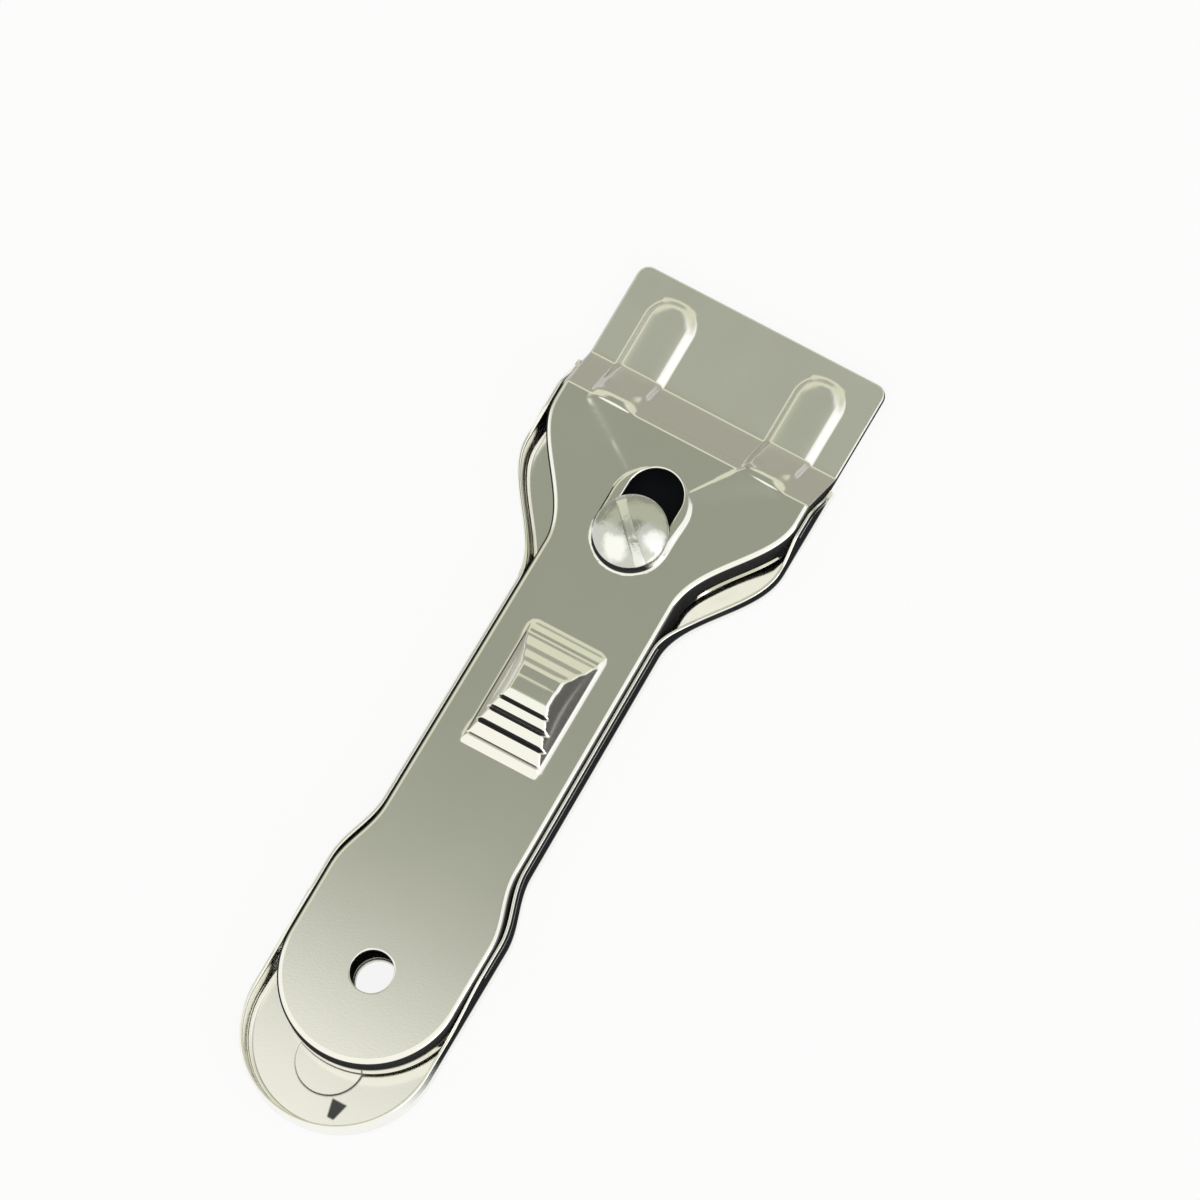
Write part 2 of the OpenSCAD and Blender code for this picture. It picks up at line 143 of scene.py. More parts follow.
# Outlines: a round tail, a widening, a handle, a neck and straight head sides
COVER_PLAN = dict(
    arc_y=HANG_Y, arc_r=15.1, flare_y=38.1, flare_l=12.5, tail_w=12.35,
    neck_y=99.3, neck_l=21.0, neck_w=11.95, head_w=HEAD_W, front_y=TOOL_L, corner=2.0)
TRAY_PLAN = dict(
    arc_y=16.05, arc_r=16.05, flare_y=39.3, flare_l=12.5, tail_w=13.3,
    neck_y=91.7, neck_l=21.0, neck_w=12.9, head_w=TRAY_W, front_y=WING_END_Y + 6, corner=3.0)
BED_PLAN = dict(start_y=WING_END_Y + 0.01, end_y=BED_END_Y, half=BED_W, corner=2.0)


def half_width(y, plan):
    """Half the width of an outline at y, ahead of its tail arc and behind its front corners."""
    flare_end = plan["flare_y"] + plan["flare_l"]
    flare = plan["arc_r"] + (plan["tail_w"] - plan["arc_r"]) * ease((y - plan["flare_y"]) / plan["flare_l"])
    run = np.clip((y - flare_end) / (plan["neck_y"] - flare_end), 0, 1)
    handle = plan["tail_w"] + (plan["neck_w"] - plan["tail_w"]) * run
    neck = (plan["head_w"] - plan["neck_w"]) * ease((y - plan["neck_y"]) / plan["neck_l"])
    return np.where(y < flare_end, flare, handle + neck)


def bed_half_width(y, bed):
    """Half the blade bed's width at y, with its front corners rounded."""
    into_corner = max(y - bed["end_y"] + bed["corner"], 0)
    return bed["half"] - (bed["corner"] - math.sqrt(max(bed["corner"] ** 2 - into_corner ** 2, 0)))


def side_curve(plan, inset):
    """Points and outward normals of the right side, drawn in by inset, with rising y."""
    corner = plan["corner"]
    y = np.arange(plan["arc_y"], plan["front_y"] - corner, 0.05)
    x = half_width(y, plan)
    slope = np.gradient(x, y)
    length = np.sqrt(1 + slope * slope)
    normal = np.stack([1 / length, -slope / length], 1)
    points = np.stack([x, y], 1)
    angle = np.linspace(0, np.pi / 2, 24)
    arc_normal = np.stack([np.cos(angle), np.sin(angle)], 1)
    middle = np.array([plan["head_w"] - corner, plan["front_y"] - corner])
    points = np.concatenate([points, middle + corner * arc_normal])
    normal = np.concatenate([normal, arc_normal])
    return points - normal * inset, normal


# Pressed sheets

class Pressing:
    """A sheet while it is laid out, with facing 1 where its outer face looks up and -1 where down.

    Every point of the outer face has one of the same number on the inner face, and the faces
    between the outer points stand for those between the inner ones too.
    """

    def __init__(self, grid, height, facing):
        self.facing = facing
        self.height = height
        self.outer = [tuple(point) for point in grid.reshape(-1, 2)]
        self.outer_z = list(height(grid[:, :, 0], grid[:, :, 1]).reshape(-1))
        self.inner = list(self.outer)
        self.inner_z = [z - facing * SHEET for z in self.outer_z]
        self.faces = []

    def add_ring(self, outer, outer_z, inner, inner_z):
        """Adds a ring of points to both faces and gives their numbers."""
        first = len(self.outer)
        self.outer += [tuple(point) for point in outer]
        self.outer_z += list(outer_z)
        self.inner += [tuple(point) for point in inner]
        self.inner_z += list(inner_z)
        return list(range(first, len(self.outer)))

    def add_strip(self, outside, inside, closed=True):
        """Adds the faces between two rings that run anticlockwise, one outside the other."""
        count = len(outside)
        for k in range(count if closed else count - 1):
            after = (k + 1) % count
            self.faces.append((outside[k], outside[after], inside[after], inside[k]))

    def solid(self, name):
        """Closes both faces into one solid, with strips along every open edge."""
        used = sorted({v for face in self.faces for v in face})
        place = {v: k for k, v in enumerate(used)}
        count = len(used)
        points = []
        for flat, heights in ((self.outer, self.outer_z), (self.inner, self.inner_z)):
            points += [(flat[v][0] * MM, (flat[v][1] + TAIL) * MM, heights[v] * MM) for v in used]
        faces = [tuple(place[v] for v in face) for face in self.faces]
        edges = set()
        for face in faces:
            edges.update((face[k - 1], face[k]) for k in range(len(face)))
        rim = [(b, a, a + count, b + count) for a, b in sorted(edges) if (b, a) not in edges]
        shell = faces + [tuple(v + count for v in reversed(face)) for face in faces] + rim
        if self.facing < 0:
            shell = [tuple(reversed(face)) for face in shell]
        mesh = bpy.data.meshes.new(name)
        mesh.from_pydata(points, [], shell)
        mesh.validate()
        piece = bpy.data.objects.new(name, mesh)
        bpy.context.collection.objects.link(piece)
        return piece


def line_places(half, columns):
    """Where the lengthwise lines cross a row: fixed near the middle, and shared out to its half width."""
    middle_lines, outer_shares = columns
    last_line = middle_lines[-1]
    right = list(middle_lines) + [last_line + (half - last_line) * share for share in outer_shares]
    return np.array([-x for x in right[:0:-1]] + right)


def sheet_grid(plan, inset, side, rows, tail_rows, columns, bed):
    """Rows of points over the whole sheet inside its edge, bowed to the arc at the tail."""
    arc_r = plan["arc_r"] - inset
    share = line_places(arc_r, columns) / arc_r
    grid = []
    for eta in tail_rows:
        x = arc_r * share * math.sqrt(1 - eta * eta / 2)
        y = plan["arc_y"] - arc_r * eta * np.sqrt(1 - share * share / 2)
        grid.append(np.stack([x, y], 1))
    for y in rows:
        half = np.interp(y, side[:, 1], side[:, 0])
        if bed and y >= bed["start_y"]:
            half = bed_half_width(y, bed)
        x = line_places(half, columns)
        grid.append(np.stack([x, np.full(len(x), y)], 1))
    return np.array(grid)


def cut_hole(sheet, grid, numbers, kept, hole):
    """Opens a block of the grid and closes it in again round a hole with a rounded edge."""
    radius, rounding, ring_count = hole["radius"], hole["rounding"], hole["rings"]
    n_lines = grid.shape[1]
    i0, i1 = np.searchsorted(grid[:, n_lines // 2, 1], (hole["low"], hole["high"]))
    j0 = np.searchsorted(grid[-1, :, 0], -hole["half"])
    j1 = n_lines - 1 - j0
    kept[i0:i1, j0:j1] = False
    loop = [numbers[i0, j] for j in range(j0, j1)] + [numbers[i, j1] for i in range(i0, i1)]
    loop += [numbers[i1, j] for j in range(j1, j0, -1)] + [numbers[i, j0] for i in range(i1, i0, -1)]
    start = np.array([sheet.outer[v] for v in loop])
    centre = hole["nearest"](start)
    away = start - centre
    away /= np.linalg.norm(away, axis=1)[:, None]
    mouth = centre + away * (radius + rounding)
    previous = loop
    for t in [k / ring_count for k in range(1, ring_count)] + [1 - 0.3 / ring_count, 1.0]:
        ring = start + (mouth - start) * t
        z = sheet.height(ring[:, 0], ring[:, 1])
        current = sheet.add_ring(ring, z, ring, z - sheet.facing * SHEET)
        sheet.add_strip(previous, current)
        previous = current
    z = sheet.height(mouth[:, 0], mouth[:, 1])
    for angle in (30, 60, 90):
        turn = math.radians(angle)
        ring = centre + away * (radius + rounding * (1 - math.sin(turn)))
        drop = rounding * (1 - math.cos(turn))
        current = sheet.add_ring(
            ring, z - sheet.facing * drop, ring, z - sheet.facing * (SHEET - drop))
        sheet.add_strip(previous, current)
        previous = current


def edge_loop(grid, numbers, bed):
    """Points that the wall hangs from, anticlockwise from the left front, and those of a closed front."""
    last = len(grid) - 1
    if bed:
        last = np.searchsorted(grid[:, grid.shape[1] // 2, 1], bed["start_y"]) - 1
    loop = [*numbers[last:0:-1, 0], *numbers[0], *numbers[1:last + 1, -1]]
    front = [] if bed else list(numbers[last, -2:0:-1])
    return loop + front, front


def loop_normals(start, loop, front, plan, side, side_normal):
    """Directions straight out from the edge, in plan."""
    normal = np.zeros_like(start)
    for k, (x, y) in enumerate(start):
        if y <= plan["arc_y"]:
            out = np.array([x, y - plan["arc_y"]])
        elif loop[k] in front:
            out = np.array([0.0, 1.0])
        else:
            out = np.array([np.interp(y, side[:, 1], side_normal[:, c]) for c in (0, 1)])
            out[0] *= np.sign(x)
        normal[k] = out / np.linalg.norm(out)
    return normal


def edge_steps(shape, z_out, z_in, lip_r, facing):
    """Depth inside the outline and height of each ring, for both faces, from the flat to the lip."""
    width_out, depth_out, width_in, depth_in, wall_in, end, lean = shape
    flat_w = 0.04
    wall_h = facing * (z_out - end) - depth_out
    lean_h = np.clip(0.9 * wall_h, lip_r, LEAN_H)
    steps = [(width_out + flat_w, z_out, wall_in + width_in + flat_w, z_in)]
    for angle in (0, 15, 30, 45, 60, 75, 90):
        turn = math.radians(angle)
        across, down = 1 - math.sin(turn), 1 - math.cos(turn)
        steps.append((width_out * across, z_out - facing * depth_out * down,
                      wall_in + width_in * across, z_in - facing * depth_in * down))
    for share, bend in ((0.0, 0.0), (0.55, 0.04), (0.85, 0.15)):
        z = end + facing * (lip_r + (lean_h - lip_r) * (1 - share))
        steps.append((-lean * bend, z, wall_in - lean * bend, z))
    for angle in (0, 30, 60, 90):
        turn = math.radians(angle)
        across, down = lip_r * (1 - math.cos(turn)), lip_r * (1 - math.sin(turn))
        z = end + facing * down
        steps.append((across - lean, z, wall_in - across - lean, z))
    return steps


def pressed_sheet(name, plan, inset, rows, tail_rows, columns, height, edge, holes, facing,
                  lip_r=0.1, bed=None):
    """A closed sheet of even thickness: a shaped floor or face, a rounded edge and a wall.

    rows are places along the tool ahead of the tail arc, and tail_rows run from 1 at the tail to 0
    at the arc's middle. columns are the fixed lines near the middle and the others' shares of the
    width beyond them. height(x, y) shapes the outer face. edge(start, normal, z) gives the width
    and depth of the rounding on the outer and on the inner face, the wall's thickness, the height
    where it ends and how far it leans out. lip_r rounds the wall's end. A bed ahead of the wings
    has no wall.
    """
    side, side_normal = side_curve(plan, inset)
    grid = sheet_grid(plan, inset, side, rows, tail_rows, columns, bed)
    n_rows, n_lines = grid.shape[:2]
    sheet = Pressing(grid, height, facing)
    numbers = np.arange(n_rows * n_lines).reshape(n_rows, n_lines)
    kept = np.ones((n_rows - 1, n_lines - 1), bool)
    for hole in holes:
        cut_hole(sheet, grid, numbers, kept, hole)
    for i, j in zip(*np.nonzero(kept)):
        sheet.faces.append((numbers[i, j], numbers[i, j + 1], numbers[i + 1, j + 1], numbers[i + 1, j]))

    loop, front = edge_loop(grid, numbers, bed)
    start = np.array([sheet.outer[v] for v in loop])
    normal = loop_normals(start, loop, front, plan, side, side_normal)
    z_out = np.array([sheet.outer_z[v] for v in loop])
    z_in = np.array([sheet.inner_z[v] for v in loop])
    previous = loop
    for in_out, out_z, in_in, in_z in edge_steps(edge(start, normal, z_out), z_out, z_in, lip_r, facing):
        current = sheet.add_ring(
            start + normal * (inset - in_out)[:, None], out_z,
            start + normal * (inset - in_in)[:, None], in_z)
        sheet.add_strip(current, previous, closed=bed is None)
        previous = current
    return sheet.solid(name)


def select_only(piece):
    bpy.ops.object.select_all(action="DESELECT")
    piece.select_set(True)
    bpy.context.view_layer.objects.active = piece


def smooth_shade(piece, degrees=35):
    """Smooth shading with sharp edges past an angle."""
    select_only(piece)
    bpy.ops.object.shade_smooth_by_angle(angle=math.radians(degrees))


# The cover's face

# The thumb grip's outline along the tool, in places and heights above the face: the treads at
# its rear, the crown, and the steps down its front
GRIP_PROFILE = (
    (64.6, -1.0), (65.0, 0.0), (66.3, 0.52), (66.6, 0.24), (66.85, 0.62), (68.6, 1.32),
    (69.15, 0.7), (69.5, 1.54), (71.0, 2.14), (71.6, 1.46), (72.0, 2.38), (73.25, 2.9),
    (73.62, 2.45), (73.9, 3.14), (74.9, 3.6), (77.5, 3.6), (78.1, 3.47), (79.7, 3.43),
    (80.25, 3.2), (81.1, 2.62), (82.3, 2.12), (83.1, 1.5), (84.6, 0.94), (85.15, 0.46),
    (85.9, 0.43), (87.35, 0.0), (87.8, -1.0))


def grip_height(x, y):
    """Height of the thumb grip above the face: a ribbed loaf on a low foot."""
    profile_y, profile_z = np.array(GRIP_PROFILE).T
    rear_y, front_y, middle_y, half_l = 65.0, 87.6, 76.3, 9.0
    foot_w, foot_corner, foot_h, foot_ramp = 7.05, 1.5, 0.15, 0.3
    flank_w, flank_slope = 6.85, 1.05
    scoop_x, scoop_bow, scoop_w, scoop_h = 5.0, 1.1, 0.45, 0.08
    across = np.abs(x)
    corner_x = np.maximum(across - foot_w + foot_corner, 0)
    corner_y = np.maximum(np.abs(y - middle_y) - (front_y - rear_y) / 2 + foot_corner, 0)
    foot = foot_h * ramp(foot_corner - np.hypot(corner_x, corner_y), foot_ramp)
    foot = foot * (1 - smooth(-x, 4.5, 6.5) * smooth(y, 67.5, 69.5) * (1 - smooth(y, 83.0, 85.5)))

    from_middle = ((y - middle_y) / half_l) ** 2
    scoop = np.exp(-((across - (scoop_x + scoop_bow * from_middle)) / scoop_w) ** 2)
    flank = flank_slope * np.maximum(flank_w - across, -0.5)
    flank = flank - scoop_h * np.clip(1 - from_middle, 0, 1) * scoop
    tread = np.interp(y, profile_y, profile_z)
    tread = tread - 0.05 * smooth(x, 2.5, 2.8) * smooth(tread, 3.0, 3.4)
    loaf = soft_min(tread, flank, 0.22)
    return np.where(loaf > -0.2, soft_max(loaf, foot, 0.08), foot)


def channel_share(across, y):
    """The channels over the blade's studs: round in front, and softer towards the top of the step."""
    foot_r, ramp_w, front_gap = 4.35, 1.1, 2.9
    arc_y = TOOL_L - front_gap - foot_r
    from_line = np.hypot(across - CHANNEL_X, np.maximum(y - arc_y, 0))
    ramp_w = ramp_w * (1 + 1.1 * smooth(-y, 3.0 - BEND_Y, 5.5 - BEND_Y))
    return ramp(foot_r - from_line, ramp_w) * smooth(y, STEP_Y - 0.5, STEP_Y + 0.2)


def pad_share(x, y):
    """The pad round the slot: softer on the right ahead of the screw, and running out at its front."""
    half, front_y, gone_y, fall_l = 6.6, 111.5, 119.5, 11.5
    right_ahead = smooth(x, 1.0, 4.0) * smooth(y, SCREW_Y - 2.0, SCREW_Y + 1.0)
    half = half + 0.4 * right_ahead * smooth(y, 107.0, 115.0)
    ramp_w = 0.35 + 0.35 * right_ahead
    pad = ramp(half - np.hypot(x, y - np.clip(y, SCREW_Y, front_y)), ramp_w)
    return pad * soft_min(1.0, soft_max(0.0, (gone_y - y) / fall_l, 0.1), 0.1)


def rib_share(x, y):
    """The ribs that run from the step back to the pad, the right one softer outside and the left inside."""
    outer_x, outer_y, outer_slope = 17.9, 122.3, 1.594
    inner_x, inner_slope = 9.3, 0.723
    rear_y, rise_l = 111.0, 12.2
    across = np.abs(x)
    outer_side = (outer_x + (y - outer_y) * outer_slope - across) / math.hypot(1, outer_slope)
    outer_side = np.maximum(np.minimum(outer_side, outer_x - across), 0)
    inner_side = (across - inner_x - (y - STEP_Y) * inner_slope) / math.hypot(1, inner_slope)
    inner_side = np.maximum(inner_side, 0)
    right = smooth(x, -2.0, 2.0)
    outer_w = 0.85 + 3.0 * right
    inner_w = 0.28 + 2.0 * (1 - right)
    rise = (0.4 + 0.6 * np.clip((y - rear_y) / rise_l, 0, 1)) * smooth(y, rear_y - 0.5, rear_y + 1.5)
    rib = ramp(inner_side, inner_w) * ramp(outer_side, outer_w, 0.1, 0.5)
    return rise * rib * (0.55 + 0.45 * right)


def face_height(x, y):
    """Height of the cover's outer face: the head, the step, the guard and what is pressed into them."""
    bend_k, crown_h = 0.15, 0.15
    step_l, step_h = BEND_Y - STEP_Y, FACE_Z - GUARD_Z
    line = GUARD_Z + (BEND_Y - y) * step_h / step_l
    base = soft_min(FACE_Z, soft_max(GUARD_Z, line, bend_k), bend_k)
    raise_h = CHANNEL_H + crown_h * np.clip((BEND_Y - y) / step_l, 0, 1)
    raised_line = line + raise_h / math.cos(math.atan(step_h / step_l))
    raised = soft_min(FACE_Z + RIB_H, soft_max(GUARD_Z + CHANNEL_H, raised_line, bend_k), bend_k)
    ribbed = base + np.maximum(channel_share(np.abs(x), y), rib_share(x, y)) * (raised - base)
    return np.maximum(ribbed, base + PAD_H * pad_share(x, y)) + grip_height(x, y)


def cover_edge(start, normal, z_face):
    """Rounding and wall of the cover: deep round the face, shallow round the guard."""
    y = start[:, 1]
    ahead = smooth(y, STEP_Y, BEND_Y)
    front = smooth(normal[:, 1], 0.2, 0.9) * (y > BEND_Y)
    width_out = 0.95 - 0.62 * ahead - 0.1 * front
    depth_out = (0.95 - 0.62 * ahead) * (1 - front) + 0.25 * front
    width_in = 0.35 - 0.3 * ahead
    depth_in = (0.35 - 0.3 * ahead) * (1 - front) + 0.01 * front
    end = (WALL_Z + (FOLD_Z - WALL_Z) * ahead) * (1 - front) + (z_face - SHEET - 0.02) * front
    at_head = smooth(y, 99.0, 107.0) * (1 - smooth(y, 113.0, 119.0))
    end = end + 0.2 * at_head
    lean = (0.08 + 0.34 * at_head) * (1 - ahead)
    return width_out, depth_out, width_in, depth_in, np.full(len(y), SHEET), end, lean


def nearest_on_slot(points):
    """The points of the slot's middle line that lie nearest."""
    return np.stack([0 * points[:, 0], np.clip(points[:, 1], SCREW_Y, SCREW_Y + TRAVEL)], 1)


def nearest_on_hang(points):
    """The hanging hole's middle, once for each point."""
    return np.stack([0 * points[:, 0], 0 * points[:, 1] + HANG_Y], 1)


def hang_hole(half):
    """The hanging hole, in a block of a half width."""
    return dict(half=half, low=HANG_Y - half, high=HANG_Y + half, nearest=nearest_on_hang,
                radius=HANG_R, rings=5, rounding=0.14)


def make_cover():
    """The cover, with its rows of points close together where its forms are tight."""
    front, front_l = TOOL_L - COVER_INSET, 1.0
    handle = ((HANG_Y, 36.5, 1.2), (36.5, 52.0, 1.0), (52.0, 64.4, 2.0))
    grip = ((64.4, 65.8, 0.3), (65.8, 74.2, 0.14), (74.2, 77.6, 0.5), (77.6, 88.0, 0.27), (88.0, 98.0, 1.5))
    head = ((98.0, 101.6, 0.18), (101.6, 111.0, 0.5), (111.0, 119.0, 0.36), (119.0, 122.9, 0.3))
    step = ((122.9, 124.2, 0.1), (124.2, 128.8, 0.4), (128.8, 130.9, 0.12))
    guard = ((130.9, 137.8, 1.0), (137.8, 144.2, 0.28), (144.2, front - front_l, 0.4))
    rows = spread(*handle, *grip, *head, *step, *guard)
    rows += [front - front_l + front_l * math.sin(math.radians(angle)) for angle in range(10, 91, 10)]
    tail_rows = spread((1.0, 0.0, -0.06))[:-1]

    fixed_w, widest = 9.0, 21.5
    middle = spread((0.0, 2.4, 0.6), (2.4, 5.5, 0.26), (5.5, 7.0, 0.18), (7.0, fixed_w, 0.5))
    beyond = spread((fixed_w, 10.6, 0.22), (10.6, 16.6, 1.2), (16.6, 18.2, 0.22), (18.2, widest, 1.1))[1:]
    columns = (middle, [(x - fixed_w) / (widest - fixed_w) for x in beyond])

    slot_block = 5.7
    slot = dict(half=5.5, low=SCREW_Y - slot_block, high=SCREW_Y + TRAVEL + slot_block,
                nearest=nearest_on_slot, radius=SLOT_R, rings=16, rounding=0.26)
    cover = pressed_sheet(
        "cover_shell", COVER_PLAN, COVER_INSET, rows, tail_rows, columns, face_height, cover_edge,
        [hang_hole(5.0), slot], 1)
    smooth_shade(cover)
    return cover


def tray_edge(start, normal, z_floor):
    """Rounding and wall of the tray, its rim leaning in and falling away at the front of the wings."""
    outer_r, inner_r, lean, front_drop = 1.5, 0.9, 0.28, 3.6
    one = np.ones(len(start))
    y = start[:, 1]
    close = smooth(y, 22.0, 34.0) * (1 - smooth(y, 92.0, 100.0)) + smooth(y, 113.0, 119.0)
    end = RIM_Z + 1.0 * close - front_drop * smooth(y, STEP_Y - 1.5, WING_END_Y)
    return outer_r * one, outer_r * one, inner_r * one, inner_r * one, SHEET * one, end, -lean * close


def tray_floor(x, y):
    """The tray's floor, dished up towards the edge of the right wing."""
    dish_h, dish_w = 0.4, 3.0
    side = half_width(np.maximum(y, TRAY_PLAN["flare_y"]), TRAY_PLAN) - TRAY_INSET - np.abs(x)
    wing_share = smooth(y, 96.0, 104.0) * (1 - smooth(y, 117.0, 121.0)) * smooth(x, -5.0, 5.0)
    return dish_h * np.clip(1 - side / dish_w, 0, 1) ** 2 * wing_share


def make_tray():
    """The tray: a tail and a handle, two wings, and the blade's bed ahead of them."""
    bed_end, outer_lines = BED_END_Y - 2.0, 16
    rows = spread(
        (TRAY_PLAN["arc_y"], 37.0, 0.8), (37.0, 53.0, 0.6), (53.0, 90.0, 2.0), (90.0, WING_END_Y, 0.5))
    rows += spread((WING_END_Y + 0.02, bed_end, 1.5), (bed_end, BED_END_Y, 0.25))
    tail_rows = spread((1.0, 0.0, -0.05))[:-1]
    columns = (spread((0.0, 9.0, 0.75)), [k / outer_lines for k in range(1, outer_lines + 1)])
    tray = pressed_sheet(
        "tray_shell", TRAY_PLAN, TRAY_INSET, rows, tail_rows, columns, tray_floor, tray_edge,
        [hang_hole(5.5)], -1, lip_r=0.24, bed=BED_PLAN)
    smooth_shade(tray)
    return tray


# Clamp screw

def lift(height):
    """Moves what is selected straight up."""
    bpy.ops.transform.translate(value=(0, 0, height * MM))


def select_end(piece, up):
    """Selects the highest of a piece's level faces with up at 1, or the lowest with up at -1."""
    bpy.ops.mesh.select_all(action="DESELECT")
    mesh = bmesh.from_edit_mesh(piece.data)
    ends = [face for face in mesh.faces if face.normal.z * up > 0.99]
    end = max(ends, key=lambda face: face.calc_center_median().z * up)
    end.select = True
    bmesh.update_edit_mesh(piece.data)


def raise_dome(head_r, dome_h, rings):
    """Insets the selected end in rings and lifts each one onto a ball's surface."""
    ball_r = (head_r ** 2 + dome_h ** 2) / (2 * dome_h)
    reach = math.asin(head_r / ball_r)
    radius, height = head_r, 0.0
    for ring in range(1, rings):
        angle = reach * (1 - ring / rings)
        new_radius = ball_r * math.sin(angle)
        new_height = dome_h - ball_r * (1 - math.cos(angle))
        bpy.ops.mesh.inset(thickness=(radius - new_radius) * MM, depth=0)
        lift(new_height - height)
        radius, height = new_radius, new_height
    lift(dome_h - height)


def cut_driver_slot(screw, centre, head_r):
    """Cuts the driver slot across the dome."""
    cutter_h, overhang = 3.0, 1.0
    bpy.ops.object.select_all(action="DESELECT")
    bpy.ops.mesh.primitive_cube_add(
        size=1, location=(*centre, (screw_high[2] - DRIVER_DEPTH + cutter_h / 2) * MM),
        rotation=(0, 0, math.radians(DRIVER_TURN)),
        scale=((2 * head_r + 2 * overhang) * MM, DRIVER_W * MM, cutter_h * MM))
    cutter = bpy.context.object
    bpy.ops.object.transform_apply(location=True, rotation=True, scale=True)
    select_only(screw)
    cut = screw.modifiers.new("slot", "BOOLEAN")
    cut.object = cutter
    cut.operation = "DIFFERENCE"
    cut.solver = "EXACT"
    bpy.ops.object.modifier_apply(modifier=cut.name)
    bpy.data.objects.remove(cutter)


def make_screw():
    """Dome-headed clamp screw with a driver slot."""
    head_r = (screw_high[0] - screw_low[0]) / 2
    head_z, edge_h, shank_r = washer_high[2] + 0.05, 0.7, 2.0
    bevel_w, bevel_angle = 0.12, 35
    centre = (0, (SCREW_Y + TAIL) * MM)
    bpy.ops.object.select_all(action="DESELECT")
    bpy.ops.mesh.primitive_cylinder_add(
        vertices=96, radius=head_r * MM, depth=edge_h * MM, location=(*centre, (head_z + edge_h / 2) * MM))
    screw = bpy.context.object
    screw.name = "domed_screw"
    bpy.ops.object.transform_apply(location=True, rotation=False, scale=False)
    bpy.ops.object.mode_set(mode="EDIT")
    bpy.ops.mesh.select_mode(type="FACE")
    select_end(screw, 1)
    raise_dome(head_r, screw_high[2] - head_z - edge_h, 13)
    select_end(screw, -1)
    bpy.ops.mesh.inset(thickness=(head_r - shank_r) * MM, depth=0)
    bpy.ops.mesh.extrude_region_move()
    lift(screw_low[2] - head_z)
    bpy.ops.object.mode_set(mode="OBJECT")
    cut_driver_slot(screw, centre, head_r)
    bevel = screw.modifiers.new("edges", "BEVEL")
    bevel.width = bevel_w * MM
    bevel.segments = 3
    bevel.limit_method = "ANGLE"
    bevel.angle_limit = math.radians(bevel_angle)
    bpy.ops.object.modifier_apply(modifier=bevel.name)
    smooth_shade(screw, 30)
    return screw


# Parts of the materials, each made in a node tree

def new_material(name):
    material = bpy.data.materials.new(name)
    material.use_nodes = True
    return material, material.node_tree, material.node_tree.nodes["Principled BSDF"]


def feed(tree, socket, value):
    """Gives a node's input a number, a colour or another node's output."""
    if isinstance(value, tuple):
        socket.default_value = (*value, 1)
    elif isinstance(value, (int, float)):
        socket.default_value = value
    else:
        tree.links.new(value, socket)


def math_node(tree, operation, *values):
    """A maths node on sockets or numbers."""
    node = tree.nodes.new("ShaderNodeMath")
    node.operation = operation
    for socket, value in zip(node.inputs, values):
        feed(tree, socket, value)
    return node.outputs[0]


def product(tree, *values):
    """Sockets or numbers multiplied together."""
    result = values[0]
    for value in values[1:]:
        result = math_node(tree, "MULTIPLY", result, value)
    return result


def vector_node(tree, operation, a, b):
    """A vector maths node on two sockets, or on a socket and three numbers."""
    node = tree.nodes.new("ShaderNodeVectorMath")
    node.operation = operation
    tree.links.new(a, node.inputs[0])
    if isinstance(b, tuple):
        node.inputs[1].default_value = b
    else:
        tree.links.new(b, node.inputs[1])
    return node.outputs["Value" if operation in ("DOT_PRODUCT", "DISTANCE") else "Vector"]


def axes(tree, vector):
    """The X, Y and Z of a vector."""
    node = tree.nodes.new("ShaderNodeSeparateXYZ")
    tree.links.new(vector, node.inputs[0])
    return node.outputs


def range_node(tree, value, low, high, to_low, to_high):
    """to_low where value is at low, to_high at high, even between."""
    node = tree.nodes.new("ShaderNodeMapRange")
    numbers = {"From Min": low, "From Max": high, "To Min": to_low, "To Max": to_high}
    for name, number in numbers.items():
        node.inputs[name].default_value = number
    tree.links.new(value, node.inputs["Value"])
    return node.outputs["Result"]


def fade_node(tree, value, low, high):
    """0 where value is at low, 1 at high, smooth between; low may be the larger."""
    to_low, to_high = (0.0, 1.0) if low < high else (1.0, 0.0)
    result = range_node(tree, value, min(low, high), max(low, high), to_low, to_high)
    result.node.interpolation_type = "SMOOTHSTEP"
    return result


def colour_mix(tree, factor, a, b):
    """A blend from colour a to colour b, which may be sockets."""
    node = tree.nodes.new("ShaderNodeMix")
    node.data_type = "RGBA"
    for name, value in (("Factor", factor), ("A", a), ("B", b)):
        feed(tree, node.inputs[name], value)
    return node.outputs["Result"]


def noise_node(tree, place, scale, detail):
    node = tree.nodes.new("ShaderNodeTexNoise")
    node.inputs["Scale"].default_value = scale
    node.inputs["Detail"].default_value = detail
    tree.links.new(place, node.inputs["Vector"])
    return node.outputs["Fac"]


def bump_node(tree, height, strength, depth):
    """A bump of a depth in millimetres."""
    node = tree.nodes.new("ShaderNodeBump")
    node.inputs["Strength"].default_value = strength
    node.inputs["Distance"].default_value = depth * MM
    tree.links.new(height, node.inputs["Height"])
    return node.outputs["Normal"]


def group_node(tree, group):
    node = tree.nodes.new("ShaderNodeGroup")
    node.node_tree = group
    return node


def object_place(tree):
    """A point's place on the unmoved piece."""
    return tree.nodes.new("ShaderNodeTexCoord").outputs["Object"]


def along_fade(tree, y, low, high):
    """A fade between two places along the tool."""
    return fade_node(tree, y, (low + TAIL) * MM, (high + TAIL) * MM)


